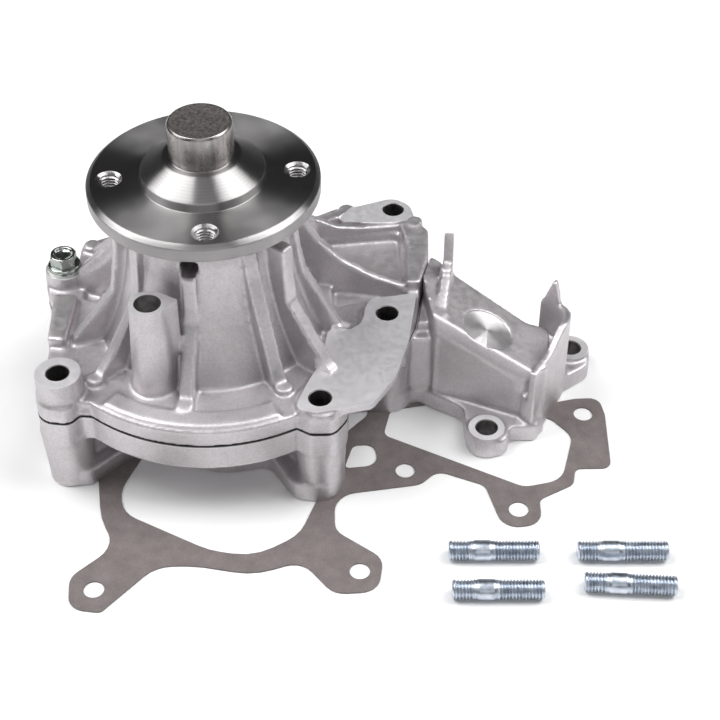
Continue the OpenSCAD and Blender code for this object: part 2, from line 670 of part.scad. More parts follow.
module impeller() {
    color([0.5, 0.5, 0.5]) difference() {
        union() {
            translate([0, 0, impeller_top - 3]) cylinder(h = 3, r = impeller_r, $fn = fine);
            translate([0, 0, impeller_z]) cylinder(h = impeller_top - impeller_z, r = tail_r + 5.5,
                                                   $fn = fine);
            for (i = [0:vane_n - 1])
                vane(360 * i / vane_n);
        }
        translate([0, 0, impeller_z - 1]) cylinder(h = 40, r = tail_r, $fn = fine);
    }
}

// Fasteners ----------------------------------------------------------------------------

bolt_seat_z = 50;
washer_t = 1.6;

module joint_washers() {
    color([0.75, 0.76, 0.7]) for (spot = joint_bolt_spots)
        translate(spot) ring(3.2, 7, bolt_seat_z, bolt_seat_z + washer_t);
}

module joint_bolts() {
    color([0.7, 0.72, 0.66]) for (spot = joint_bolt_spots)
        translate([spot.x, spot.y, 0]) {
            translate([0, 0, bolt_seat_z + washer_t]) cylinder(h = 1.4, r = 6.4);
            translate([0, 0, bolt_seat_z + washer_t + 1.2]) cylinder(h = 5.2, r = 5.77, $fn = 6);
            translate([0, 0, flange_low - 6]) cylinder(h = bolt_seat_z + washer_t - flange_low + 7,
                                                       r = 2.95);
        }
}

// Gasket and studs, laid out in front of the pump --------------------------------------

gasket_turn = 8.8;
gasket_back = 54.8;

module mounting_gasket() {
    color([0.42, 0.40, 0.38]) rotate([0, 0, gasket_turn]) translate([-0.6, -gasket_back, -gasket_t])
        linear_extrude(gasket_t) difference() {
            polygon(rounded(gasket_points));
            polygon(rounded(volute_points));
            polygon(rounded(outlet_points));
            polygon(rounded(slot_points));
            for (spot = [hole_a, hole_c, hole_d, hole_e, hole_back, hole_p4, hole_p5])
                translate(spot) circle(r = gasket_hole_r);
        }
}

module stud(spot, turn) {
    waist = stud_len - stud_short - stud_long;
    color([0.7, 0.74, 0.78]) translate([spot.x, spot.y, stud_r - gasket_t]) rotate([0, 0, turn])
        rotate([0, 90, 0])
        translate([0, 0, -stud_len / 2]) rotate_extrude()
            polygon([[0, 0], [stud_r - 0.9, 0], [stud_r, 0.9], [stud_r, stud_short - 0.6],
                     [stud_r - 0.7, stud_short], [stud_r - 0.7, stud_short + 0.8],
                     [stud_r + 0.15, stud_short + 2], [stud_r + 0.15, stud_short + waist - 2],
                     [stud_r - 0.7, stud_short + waist - 0.8], [stud_r - 0.7, stud_short + waist],
                     [stud_r, stud_short + waist + 0.6], [stud_r, stud_len - 0.9],
                     [stud_r - 0.9, stud_len], [0, stud_len]]);
}

cover();
body();
joint_seal();
fan_flange();
shaft();
bearing_outer_ring();
bearing_balls();
ball_cage();
bearing_rollers();
roller_cage();
bearing_seal_front();
bearing_seal_rear();
face_seal_case();
face_seal_spring();
face_seal_bellows();
carbon_ring();
seat_ring();
impeller();
joint_bolts();
joint_washers();
mounting_gasket();
stud(stud_spots[0], stud_turns[0]);  // stud_1
stud(stud_spots[1], stud_turns[1]);  // stud_2
stud(stud_spots[2], stud_turns[2]);  // stud_3
stud(stud_spots[3], stud_turns[3]);  // stud_4
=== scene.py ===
import json
import math

import bmesh
import bpy
from mathutils import Matrix, Vector


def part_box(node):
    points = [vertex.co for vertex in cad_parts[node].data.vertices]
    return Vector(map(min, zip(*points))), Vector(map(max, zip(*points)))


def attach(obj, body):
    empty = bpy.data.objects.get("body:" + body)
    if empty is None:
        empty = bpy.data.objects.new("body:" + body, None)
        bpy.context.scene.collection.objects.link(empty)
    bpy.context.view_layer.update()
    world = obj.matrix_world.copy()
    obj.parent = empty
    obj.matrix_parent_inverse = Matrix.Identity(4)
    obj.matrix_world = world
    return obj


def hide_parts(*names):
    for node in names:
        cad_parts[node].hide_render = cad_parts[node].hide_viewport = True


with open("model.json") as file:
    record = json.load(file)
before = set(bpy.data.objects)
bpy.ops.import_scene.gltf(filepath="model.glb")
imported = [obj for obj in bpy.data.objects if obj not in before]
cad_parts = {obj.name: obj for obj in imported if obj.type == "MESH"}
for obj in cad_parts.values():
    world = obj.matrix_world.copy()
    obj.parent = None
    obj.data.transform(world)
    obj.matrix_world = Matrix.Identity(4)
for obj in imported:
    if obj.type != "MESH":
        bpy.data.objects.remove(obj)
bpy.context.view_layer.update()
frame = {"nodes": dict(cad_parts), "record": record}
scene = bpy.context.scene
MM = 0.001
MOUNTS = {mount["name"]: mount for mount in frame["record"]["mounts"]}


# Camera, at the photograph's angle ----------------------------------------------------

def add_camera():
    """Looks down at the pump from its front, with a long lens."""
    data = bpy.data.cameras.new("camera")
    data.sensor_width = 36
    data.lens = 83.3
    camera = bpy.data.objects.new("camera", data)
    camera.location = (0.05993, -0.5175, 0.4930)
    camera.rotation_euler = (math.radians(90 - 42.51), 0, 0)
    scene.collection.objects.link(camera)
    scene.camera = camera


# Material helpers ---------------------------------------------------------------------

def new_material(name, metallic, roughness, colour=(0.8, 0.8, 0.8)):
    """A node material with one Principled shader. Returns it with its node tree and shader."""
    made = bpy.data.materials.new(name)
    made.use_nodes = True
    tree = made.node_tree
    shader = tree.nodes["Principled BSDF"]
    shader.inputs["Metallic"].default_value = metallic
    shader.inputs["Roughness"].default_value = roughness
    shader.inputs["Base Color"].default_value = (*colour, 1)
    return made, tree, shader


def place(tree, stretch=(1, 1, 1)):
    """The point on the piece, in metres, stretched along each axis."""
    coords = tree.nodes.new("ShaderNodeTexCoord")
    mapping = tree.nodes.new("ShaderNodeMapping")
    mapping.inputs["Scale"].default_value = stretch
    tree.links.new(coords.outputs["Object"], mapping.inputs["Vector"])
    return mapping.outputs["Vector"]


def noise(tree, size_mm, detail=3, stretch=(1, 1, 1), sharp=0.5):
    """Soft blotches or grain about size_mm across."""
    node = tree.nodes.new("ShaderNodeTexNoise")
    node.inputs["Scale"].default_value = 1 / (size_mm * MM)
    node.inputs["Detail"].default_value = detail
    node.inputs["Roughness"].default_value = sharp
    tree.links.new(place(tree, stretch), node.inputs["Vector"])
    return node.outputs["Fac"]


def turning_marks(tree, pitch_mm):
    """Rings round the Z axis, as a lathe leaves."""
    node = tree.nodes.new("ShaderNodeTexWave")
    node.wave_type = "RINGS"
    node.rings_direction = "Z"
    node.inputs["Scale"].default_value = math.tau / (20 * pitch_mm * MM)
    coords = tree.nodes.new("ShaderNodeTexCoord")
    tree.links.new(coords.outputs["Object"], node.inputs["Vector"])
    return node.outputs["Fac"]


def ramp(tree, value, stops):
    """value turned into a colour by (position, colour) stops."""
    node = tree.nodes.new("ShaderNodeValToRGB")
    band = node.color_ramp
    while len(band.elements) < len(stops):
        band.elements.new(0.5)
    for element, (position, colour) in zip(band.elements, stops):
        element.position = position
        element.color = (*colour, 1) if isinstance(colour, tuple) else (colour, colour, colour, 1)
    tree.links.new(value, node.inputs["Fac"])
    return node.outputs["Color"]


def mix(tree, value, a, b, how="MIX"):
    """Two colours mixed by value, which may be a number or a socket."""
    node = tree.nodes.new("ShaderNodeMix")
    node.data_type = "RGBA"
    node.blend_type = how
    if isinstance(value, float):
        node.inputs["Factor"].default_value = value
    else:
        tree.links.new(value, node.inputs["Factor"])
    tree.links.new(a, node.inputs["A"])
    tree.links.new(b, node.inputs["B"])
    return node.outputs["Result"]


def bumps(tree, shader, *layers):
    """Relief from (height socket, depth in millimetres) layers, one on another."""
    last = None
    for height, depth_mm in layers:
        node = tree.nodes.new("ShaderNodeBump")
        node.inputs["Distance"].default_value = depth_mm * MM
        tree.links.new(height, node.inputs["Height"])
        if last is not None:
            tree.links.new(last, node.inputs["Normal"])
        last = node.outputs["Normal"]
    tree.links.new(last, shader.inputs["Normal"])


def painted_shade_and_ridge_highlight(tree, low, high):
    """How sharply the surface bends outwards, as a colour from low in hollows to high on ridges: painted
    shade darkening the hollows and a painted highlight lightening the ridges.
    """
    geometry = tree.nodes.new("ShaderNodeNewGeometry")
    return ramp(tree, geometry.outputs["Pointiness"], [(0.44, low), (0.5, (low + high) / 2), (0.56, high)])


# Materials ----------------------------------------------------------------------------

def cast_aluminium():
    """Die-cast alloy: a dry satin skin with fine grain, soft blotches, painted shade in the hollows and a
    painted highlight on the ridges.
    """
    made, tree, shader = new_material("cast_aluminium", 0.93, 0.5)
    blotch = ramp(tree, noise(tree, 14, 4), [(0.3, (0.65, 0.622, 0.64)), (0.7, (0.76, 0.73, 0.748))])
    speck = ramp(tree, noise(tree, 0.9, 2), [(0.35, 0.9), (0.6, 1.0)])
    # Painted shade darkens the hollows and a painted highlight lightens the ridges of the base colour.
    painted_shade_and_highlight = painted_shade_and_ridge_highlight(tree, 0.74, 1.02)
    base = mix(tree, 1.0, mix(tree, 1.0, blotch, speck, "MULTIPLY"), painted_shade_and_highlight, "MULTIPLY")
    tree.links.new(base, shader.inputs["Base Color"])
    rough = ramp(tree, noise(tree, 3, 5), [(0.3, 0.44), (0.7, 0.54)])
    tree.links.new(rough, shader.inputs["Roughness"])
    bumps(tree, shader, (noise(tree, 4.5, 3), 0.14), (noise(tree, 0.7, 3, sharp=0.6), 0.04))
    return made


def machined_aluminium():
    """The same alloy where a face mill has cut it bright."""
    made, tree, shader = new_material("machined_aluminium", 0.85, 0.5)
    base_tone = ramp(tree, noise(tree, 9, 5), [(0.35, (0.84, 0.825, 0.84)), (0.65, (0.90, 0.885, 0.90))])
    tree.links.new(base_tone, shader.inputs["Base Color"])
    rough = ramp(tree, noise(tree, 2, 4), [(0.3, 0.46), (0.7, 0.55)])
    tree.links.new(rough, shader.inputs["Roughness"])
    bumps(tree, shader, (noise(tree, 0.5, 2), 0.008))
    return made


def shaded_bore_aluminium():
    """The inside of a drilled hole: a dark base colour as painted shade, with drilling rings in its relief.
    """
    made, tree, shader = new_material("shaded_bore_aluminium", 1.0, 0.45)
    # The dark base tone is painted shade inside the hole.
    base_tone = ramp(tree, noise(tree, 4, 4), [(0.35, (0.16, 0.15, 0.15)), (0.65, (0.30, 0.29, 0.29))])
    tree.links.new(base_tone, shader.inputs["Base Color"])
    tree.links.new(ramp(tree, noise(tree, 2, 3), [(0.3, 0.4), (0.7, 0.52)]), shader.inputs["Roughness"])
    bumps(tree, shader, (noise(tree, 0.8, 3, (1, 1, 3)), 0.03))
    return made


def spin_finished(name, centre, axis):
    """Aluminium cut by a spinning tool about a tilted axis, so that it glints in opposite wedges."""
    made, tree, shader = new_material(name, 0.9, 0.45)
    shader.inputs["Anisotropic"].default_value = 0.6
    shader.inputs["Anisotropic Rotation"].default_value = 0.25
    coords = tree.nodes.new("ShaderNodeTexCoord")
    arm, turn, whole = (tree.nodes.new("ShaderNodeVectorMath") for _ in range(3))
    arm.operation, turn.operation, whole.operation = "SUBTRACT", "CROSS_PRODUCT", "NORMALIZE"
    arm.inputs[1].default_value = centre
    turn.inputs[0].default_value = axis
    tree.links.new(coords.outputs["Object"], arm.inputs[0])
    tree.links.new(arm.outputs[0], turn.inputs[1])
    tree.links.new(turn.outputs[0], whole.inputs[0])
    tree.links.new(whole.outputs[0], shader.inputs["Tangent"])
    tint = ramp(tree, noise(tree, 6, 4), [(0.3, (0.70, 0.685, 0.69)), (0.7, (0.80, 0.785, 0.79))])
    tree.links.new(tint, shader.inputs["Base Color"])
    tree.links.new(ramp(tree, noise(tree, 3, 4), [(0.3, 0.42), (0.7, 0.5)]), shader.inputs["Roughness"])
    bumps(tree, shader, (noise(tree, 0.4, 2), 0.006))
    return made


def turned_steel():
    """Bright lathe-turned steel, whose fine rings stretch each light into a wedge."""
    made, tree, shader = new_material("turned_steel", 1.0, 0.33)
    shader.inputs["Anisotropic"].default_value = 0.95
    shader.inputs["Anisotropic Rotation"].default_value = 0.25
    tangent = tree.nodes.new("ShaderNodeTangent")
    tangent.direction_type = "RADIAL"
    tangent.axis = "Z"
    tree.links.new(tangent.outputs["Tangent"], shader.inputs["Tangent"])
    tint = ramp(tree, noise(tree, 18, 4), [(0.3, (0.34, 0.33, 0.33)), (0.7, (0.43, 0.42, 0.42))])
    rings = ramp(tree, turning_marks(tree, 1.1), [(0.0, 0.9), (1.0, 1.0)])
    tree.links.new(mix(tree, 1.0, tint, rings, "MULTIPLY"), shader.inputs["Base Color"])
    rough = ramp(tree, noise(tree, 9, 2), [(0.3, 0.31), (0.7, 0.35)])
    tree.links.new(rough, shader.inputs["Roughness"])
    bumps(tree, shader, (noise(tree, 4, 2), 0.004))
    return made


def ground_steel_stub():
    """The pilot stub: dark ground steel, drawn out lengthwise by its long straight scratches."""
    made, tree, shader = new_material("pilot_steel", 1.0, 0.3)
    scratches = noise(tree, 1.6, 4, (1, 1, 0.08))
    tint = ramp(tree, scratches, [(0.3, (0.25, 0.235, 0.23)), (0.7, (0.42, 0.40, 0.39))])
    tree.links.new(tint, shader.inputs["Base Color"])
    tree.links.new(ramp(tree, noise(tree, 3, 4), [(0.3, 0.24), (0.7, 0.36)]), shader.inputs["Roughness"])
    bumps(tree, shader, (noise(tree, 0.5, 2, (1, 1, 0.1)), 0.004))
    return made


def sawn_steel():
    """The rough dark end of the bar that the shaft was cut from."""
    made, tree, shader = new_material("sawn_steel", 0.8, 0.5)
    tint = ramp(tree, noise(tree, 1.1, 6), [(0.3, (0.10, 0.09, 0.088)), (0.7, (0.23, 0.21, 0.205))])
    tree.links.new(tint, shader.inputs["Base Color"])
    tree.links.new(ramp(tree, noise(tree, 1.2, 4), [(0.3, 0.4), (0.7, 0.62)]), shader.inputs["Roughness"])
    bumps(tree, shader, (noise(tree, 2.5, 5, (1, 3, 1)), 0.12), (noise(tree, 0.5, 3), 0.04))
    return made


def plain_metal(name, dark, light, rough_low, rough_high, blotch_mm, grain_mm, depth_mm, metallic=1.0):
    """A metal with blotches of two tones, painted shade in its hollows, a painted highlight on its ridges,
    uneven gloss and fine relief.
    """
    made, tree, shader = new_material(name, metallic, rough_low)
    tint = ramp(tree, noise(tree, blotch_mm, 4), [(0.35, dark), (0.65, light)])
    # The blotched tint is multiplied by painted shade in the hollows and a painted highlight on the ridges.
    tree.links.new(mix(tree, 1.0, tint, painted_shade_and_ridge_highlight(tree, 0.75, 1.1), "MULTIPLY"), shader.inputs["Base Color"])
    rough = ramp(tree, noise(tree, blotch_mm / 2, 4), [(0.35, rough_low), (0.65, rough_high)])
    tree.links.new(rough, shader.inputs["Roughness"])
    bumps(tree, shader, (noise(tree, grain_mm, 3), depth_mm))
    return made


def dull_stuff(name, dark, light, roughness, grain_mm, depth_mm):
    """Rubber, sealant, carbon or ceramic: two close tones, a fine grain and no metal."""
    made, tree, shader = new_material(name, 0.0, roughness)
    tint = ramp(tree, noise(tree, grain_mm * 6, 4), [(0.35, dark), (0.65, light)])
    tree.links.new(tint, shader.inputs["Base Color"])
    gloss = [(0.3, roughness - 0.06), (0.7, roughness + 0.06)]
    tree.links.new(ramp(tree, noise(tree, grain_mm * 3, 3), gloss), shader.inputs["Roughness"])
    bumps(tree, shader, (noise(tree, grain_mm, 4), depth_mm))
    return made


def gasket_fibre():
    """Pressed fibre sheet: warm grey-brown, mottled, with short fibres and a few pale specks."""
    made, tree, shader = new_material("gasket_fibre", 0.0, 0.8)
    shader.inputs["Specular IOR Level"].default_value = 0.35
    tones = [(0.3, (0.155, 0.132, 0.13)), (0.7, (0.215, 0.188, 0.185))]
    mottle = ramp(tree, noise(tree, 7, 6, sharp=0.65), tones)
    fibre = ramp(tree, noise(tree, 0.8, 4, (1, 2.6, 1), 0.7), [(0.3, 0.8), (0.62, 1.12)])
    crossing = ramp(tree, noise(tree, 0.8, 4, (2.6, 1, 1), 0.7), [(0.3, 0.86), (0.62, 1.08)])
    tint = mix(tree, 1.0, mix(tree, 1.0, mottle, fibre, "MULTIPLY"), crossing, "MULTIPLY")
    tree.links.new(tint, shader.inputs["Base Color"])
    tree.links.new(ramp(tree, noise(tree, 4, 4), [(0.3, 0.72), (0.7, 0.88)]), shader.inputs["Roughness"])
    bumps(tree, shader, (noise(tree, 2.4, 5), 0.06), (noise(tree, 0.5, 4, (1, 2.4, 1), 0.7), 0.05))
    return made


def white_floor():
    """Matt white studio sweep."""
    made, tree, shader = new_material("studio_floor", 0.0, 0.9)
    tree.links.new(ramp(tree, noise(tree, 400, 2), [(0.0, 0.93), (1.0, 0.95)]), shader.inputs["Base Color"])
    shader.inputs["Specular IOR Level"].default_value = 0.1
    return made


# Mesh helpers -------------------------------------------------------------------------

def add_piece(name, mesh, *materials):
    """A new object in the scene that holds the mesh."""
    made = bpy.data.objects.new(name, mesh)
    scene.collection.objects.link(made)
    for material in materials:
        mesh.materials.append(material)
    return made


def finish_shading(mesh, angle=32):
    """Smooth shading with crisp edges where faces meet at more than the angle."""
    mesh.polygons.foreach_set("use_smooth", [True] * len(mesh.polygons))
    mesh.set_sharp_from_angle(angle=math.radians(angle))


def flatten_cuts(mesh, milled):
    """Flat shading on the faces with the milled material, so that milled planes stay true."""
    slot = mesh.materials.find(milled.name)
    for face in mesh.polygons:
        if face.material_index == slot:
            face.use_smooth = False


def apply_modifiers(made):
    """Bakes the object's modifiers into its own mesh."""
    bpy.context.view_layer.update()
    view = made.evaluated_get(bpy.context.evaluated_depsgraph_get())
    mesh = bpy.data.meshes.new_from_object(view)
    made.modifiers.clear()
    old = made.data
    made.data = mesh
    bpy.data.meshes.remove(old)


def soften(profile, radius, steps=3):
    """The profile with each inner corner rounded, as far as its two sides have room."""
    out = [profile[0]]
    for before, here, after in zip(profile, profile[1:], profile[2:]):
        here, u, v = Vector(here), Vector(before) - Vector(here), Vector(after) - Vector(here)
        reach = min(radius, u.length * 0.4, v.length * 0.4)
        a, b = here + u.normalized() * reach, here + v.normalized() * reach
        for i in range(steps + 1):
            t = i / steps
            out.append(tuple(a * (1 - t) ** 2 + here * 2 * t * (1 - t) + b * t ** 2))
    out.append(profile[-1])
    return out


def revolve(name, profile, segments, reshape=None):
    """A closed mesh from a (radius, height) profile in millimetres, turned round Z. The profile runs from
    axis to axis or closes on itself. reshape(radius, height, angle) may change each point's radius."""
    mesh = bpy.data.meshes.new(name)
    work = bmesh.new()
    rows = []
    for radius, height in profile:
        if radius < 1e-6:
            rows.append([work.verts.new((0, 0, height * MM))])
            continue
        row = []
        for i in range(segments):
            angle = math.tau * i / segments
            r = reshape(radius, height, angle) if reshape else radius
            row.append(work.verts.new((r * MM * math.cos(angle), r * MM * math.sin(angle), height * MM)))
        rows.append(row)
    closed = len(rows[0]) > 1
    pairs = list(zip(rows, rows[1:])) + ([(rows[-1], rows[0])] if closed else [])
    for a, b in pairs:
        for i in range(segments):
            j = (i + 1) % segments
            corners = [a[i % len(a)], a[j % len(a)], b[j % len(b)], b[i % len(b)]]
            unique = [c for k, c in enumerate(corners) if c not in corners[:k]]
            if len(unique) > 2:
                work.faces.new(unique)
    bmesh.ops.recalc_face_normals(work, faces=work.faces)
    work.to_mesh(mesh)
    work.free()
    return mesh


def thread_height(height, angle, pitch):
    """How far up a thread's flank a point is: 0 at the root, 1 on the crest."""
    turn = (height / pitch - angle / math.tau) % 1
    return min(1, max(0, (1 - abs(2 * turn - 1)) * 1.35 - 0.2))


def threaded(radius, pitch, depth, stretches):
    """A reshape for revolve() that cuts a thread into each (low, high) stretch."""
    def reshape(r, height, angle):
        for low, high in stretches:
            if low <= height <= high and r > radius - depth:
                fade = min(1, (height - low) / pitch + 0.15, (high - height) / pitch + 0.15)
                return min(r, radius - depth * fade * (1 - thread_height(height, angle, pitch)))
        return r
    return reshape


def column_rows(points, step):
    """The profile with extra rows up its long straight walls, so that a thread has points to bend."""
    out = []
    for a, b in zip(points, points[1:]):
        n = max(1, math.ceil(abs(b[1] - a[1]) / step)) if abs(b[1] - a[1]) > step else 1
        out += [(a[0] + (b[0] - a[0]) * i / n, a[1] + (b[1] - a[1]) * i / n) for i in range(n)]
    return out + [points[-1]]


# Cast pieces: remeshed for soft cast edges, then machined ------------------------------

VOXEL = 0.76 * MM
ALLOWANCE = 1.3 * MM
CUT_MARGIN = 0.8 * MM
OVERLAP = 0.6 * MM
SMOOTHING_PASSES = 6


def welded(node):
    """The CAD node's mesh as a bmesh with its seams closed."""
    work = bmesh.new()
    work.from_mesh(frame["nodes"][node].data)
    bmesh.ops.remove_doubles(work, verts=work.verts, dist=1e-6)
    return work


def flat_patch(work, height, spot):
    """The level faces at a height, in millimetres, that join up with the one nearest the spot."""
    level = [f for f in work.faces
             if abs(f.normal.z) > 0.999 and abs(f.calc_center_median().z - height * MM) < 0.05 * MM]
    if not level:
        return []
    centre = Vector((spot[0] * MM, spot[1] * MM, height * MM))
    start = min(level, key=lambda f: min((v.co - centre).length for v in f.verts))
    allowed, found, queue = set(level), {start}, [start]
    while queue:
        for edge in queue.pop().edges:
            for face in edge.link_faces:
                if face in allowed and face not in found:
                    found.add(face)
                    queue.append(face)
    return list(found)


def patch_prism(name, node, height, spot, low, high, margin, material):
    """A closed prism over a flat patch, from low to high above it, its outline pushed out by margin."""
    work = welded(node)
    keep = set(flat_patch(work, height, spot))
    bmesh.ops.delete(work, geom=[f for f in work.faces if f not in keep], context="FACES")
    push = {}
    for edge in work.edges:
        if len(edge.link_faces) == 1:
            side = edge.verts[1].co - edge.verts[0].co
            out = Vector((side.y, -side.x, 0)).normalized()
            middle = (edge.verts[0].co + edge.verts[1].co) / 2
            if out.dot(edge.link_faces[0].calc_center_median() - middle) > 0:
                out = -out
            for vert in edge.verts:
                push.setdefault(vert, []).append(out)
    for vert, ways in push.items():
        total = sum(ways, Vector())
        if total.length > 0.3:
            vert.co += total.normalized() * margin / max(0.5, total.normalized().dot(ways[0]))
        vert.co.z = height * MM
    bmesh.ops.translate(work, verts=work.verts, vec=(0, 0, low))
    made = bmesh.ops.extrude_face_region(work, geom=list(work.faces), use_keep_orig=True)
    tops = [g for g in made["geom"] if isinstance(g, bmesh.types.BMVert)]
    bmesh.ops.translate(work, verts=tops, vec=(0, 0, high - low))
    bmesh.ops.recalc_face_normals(work, faces=work.faces)
    mesh = bpy.data.meshes.new(name)
    work.to_mesh(mesh)
    work.free()
    return add_piece(name, mesh, material)


def drill(name, spot, radius, low, high, material, flare=0.0, segments=64):
    """A drill, in millimetres. flare adds a small cone at its top end, to break the hole's edge."""
    if flare:
        profile = [(0, low), (radius, low), (radius, high - flare), (radius + flare, high),
                   (radius + flare, high + 3), (0, high + 3)]
    else:
        profile = [(0, low), (radius, low), (radius, high), (0, high)]
    mesh = revolve(name, profile, segments)
    mesh.transform(Matrix.Translation((spot[0] * MM, spot[1] * MM, 0)))
    return add_piece(name, mesh, material)


def boolean(made, tool, how):
    """Joins or cuts with the tool, and drops the tool."""
    modifier = made.modifiers.new(how.lower(), "BOOLEAN")
    modifier.operation = how
    modifier.solver = "MANIFOLD"
    modifier.object = tool
    modifier.material_mode = "TRANSFER"
    apply_modifiers(made)
    bpy.data.meshes.remove(tool.data)


def casting(name, node, finishes, tops, holes, underside):
    """A CAD casting with soft edges, left with machining stock and then cut true. finishes is (cast skin,
    milled face, bored hole), tops lists milled (height, spot) faces, holes lists (spot, radius, top height)
    and underside is the (height, spot) of the milled foot."""
    cast, milled, bored = finishes
    foot, foot_spot = underside
    work = welded(node)
    mesh = bpy.data.meshes.new(name)
    work.to_mesh(mesh)
    work.free()
    made = add_piece(name, mesh, cast)
    blanks = [made]
    for i, (height, spot) in enumerate(tops):
        blanks.append(patch_prism(f"stock_{i}", node, height, spot, -OVERLAP, ALLOWANCE, 0, cast))
    for i, (spot, radius, top) in enumerate(holes):
        blanks.append(drill(f"plug_{i}", spot, radius + 0.8, foot, top + 1, cast))
    blanks.append(patch_prism("foot_stock", node, foot, foot_spot, -ALLOWANCE, OVERLAP, 0, cast))
    bpy.ops.object.select_all(action="DESELECT")
    for blank in blanks:
        blank.select_set(True)
    bpy.context.view_layer.objects.active = made
    bpy.ops.object.join()
    remesh = made.modifiers.new("remesh", "REMESH")
    remesh.mode = "VOXEL"
    remesh.voxel_size = VOXEL
    smooth = made.modifiers.new("smooth", "SMOOTH")
    smooth.factor = 0.5
    smooth.iterations = SMOOTHING_PASSES
    apply_modifiers(made)
    made.data.materials.clear()
    made.data.materials.append(cast)
    for i, (height, spot) in enumerate(tops):
        mill = patch_prism(f"mill_{i}", node, height, spot, 0, 5 * MM, CUT_MARGIN, milled)
        boolean(made, mill, "DIFFERENCE")
    size = Vector((0.5, 0.5, 0.05))
    bpy.ops.mesh.primitive_cube_add(size=1, location=(0.05, 0, foot * MM - size.z / 2), scale=size)
    face_mill = bpy.context.object
    face_mill.data.materials.append(milled)
    boolean(made, face_mill, "DIFFERENCE")
    for i, (spot, radius, top) in enumerate(holes):
        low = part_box(node)[0].z / MM - 3
        boolean(made, drill(f"drill_{i}", spot, radius, low, top + 0.01, bored, 0.35), "DIFFERENCE")
    return made


# Pieces -------------------------------------------------------------------------------

FLANGE_RIM = 45
FAN_HOLE = 4.1
THREAD_DEPTH = 0.72
THREAD_PITCH = 1.25
STUD_TURNS = {"stud_1": 0, "stud_2": 0, "stud_3": 0, "stud_4": -3.4}
ROOF_SLOPE = math.radians(21.4)
DISH_SPOT = Vector((112.6, -2.8, 38.5)) * MM
LEFT_BOLT, HIDDEN_BOLT = (-63.6, 22.8), (28, 60)
BOLT_SEAT = 50
WASHER = 1.6


def mount_spot(name):
    """A mount's place seen from above, in millimetres."""
    return MOUNTS[name]["pos_m"][0] / MM, MOUNTS[name]["pos_m"][1] / MM


def hole_of(name, top):
    """(spot, radius, top height) of a bore mount."""
    return mount_spot(name), MOUNTS[name]["dims"]["r_mm"], top


def cover_casting(finishes):
    """The upper housing half: soft die-cast edges with milled boss tops and drilled holes."""
    plate, front_boss, tube = 47.4, 54.5, 85
    tops = [(front_boss, mount_spot("bolt_front_left")), (plate, mount_spot("bolt_right")),
            (plate, mount_spot("bolt_back_right")), (tube, mount_spot("bracket_boss")),
            (BOLT_SEAT, LEFT_BOLT), (BOLT_SEAT, HIDDEN_BOLT)]
    holes = [hole_of("bolt_front_left", front_boss), hole_of("bolt_front_right", plate),
             hole_of("bolt_right", plate), hole_of("bolt_back_right", plate),
             (LEFT_BOLT, 3.3, BOLT_SEAT), (HIDDEN_BOLT, 3.3, BOLT_SEAT)]
    made = casting("cover_casting", "cover", finishes, tops, holes, (37, (0, 0)))
    tube_hole = drill("tube_drill", mount_spot("bracket_boss"), 4.9, 43, tube + 0.01, finishes[2], 0.35)
    boolean(made, tube_hole, "DIFFERENCE")
    finish_shading(made.data)
    flatten_cuts(made.data, finishes[1])
    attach(made, "housing")
    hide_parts("cover")


def body_casting(finishes):
    """The lower housing half with the outlet elbow and the dish milled into its sloping roof."""
    joint, ear = 36.4, 9.5
    tops = [(joint, mount_spot("bolt_front_left")), (ear, mount_spot("bolt_elbow_front")),
            (ear, mount_spot("bolt_elbow_right")), (ear, mount_spot("bolt_back_left"))]
    holes = [hole_of("bolt_front_left", joint), hole_of("bolt_front_right", joint),
             hole_of("bolt_right", joint), hole_of("bolt_back_right", joint),
             hole_of("bolt_back_left", ear), hole_of("bolt_elbow_front", ear),
             hole_of("bolt_elbow_right", ear)]
    made = casting("body_casting", "body", finishes, tops, holes, (0, mount_spot("bolt_right")))
    tilt = Matrix.Translation(DISH_SPOT) @ Matrix.Rotation(ROOF_SLOPE, 4, "Y")
    dish = spin_finished("dish_finish", DISH_SPOT, tilt.to_3x3() @ Vector((0, 0, 1)))
    cutter = revolve("dish_cutter", [(0, -0.75), (10.6, -0.75), (11.1, -0.45), (11.3, 6), (0, 6)], 96)
    cutter.transform(tilt)
    boolean(made, add_piece("dish_cutter", cutter, dish), "DIFFERENCE")
    finish_shading(made.data)
    flatten_cuts(made.data, finishes[1])
    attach(made, "housing")
    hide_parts("body")


def fan_flange(steel):
    """The turned flange: bevelled rim, stepped cone and four threaded holes with bright countersinks."""
    low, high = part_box("fan_flange")
    top, hub, cone = 115, low.z / MM, high.z / MM
    bore, under = 12.6, top - 7.4
    profile = [(bore, hub), (18, hub), (19, hub + 1), (19, under - 1.5), (20.5, under),
               (FLANGE_RIM - 0.8, under), (FLANGE_RIM, under + 0.8), (FLANGE_RIM, top - 1.6),
               (FLANGE_RIM - 2, top), (24.5, top), (24, top + 3.4), (23.2, top + 4), (15, cone), (bore, cone)]
    mesh = revolve("fan_flange_turned", soften(profile, 0.35), 192)
    made = add_piece("fan_flange_turned", mesh, steel)
    pattern = MOUNTS["fan_bolts"]
    cut = threaded(FAN_HOLE, THREAD_PITCH, THREAD_DEPTH, [(under - 1, top - 0.9)])
    for i in range(4):
        angle = math.radians(4.9 + 90 * i)
        rows = column_rows([(0, under - 2), (FAN_HOLE, under - 2), (FAN_HOLE, top - 0.9)], THREAD_PITCH / 8)
        rows += [(FAN_HOLE + 1.1, top + 0.01), (FAN_HOLE + 1.1, top + 2), (0, top + 2)]
        tool = add_piece(f"tap_{i}", revolve(f"tap_{i}", rows, 48, cut), steel)
        reach = pattern["dims"]["pcd_mm"] / 2 * MM
        tool.data.transform(Matrix.Translation((reach * math.cos(angle), reach * math.sin(angle), 0)))
        boolean(made, tool, "DIFFERENCE")
    finish_shading(made.data, 28)
    for face in made.data.polygons:
        if abs(face.normal.z) > 0.9999:
            face.use_smooth = False
    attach(made, "rotor")
    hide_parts("fan_flange")


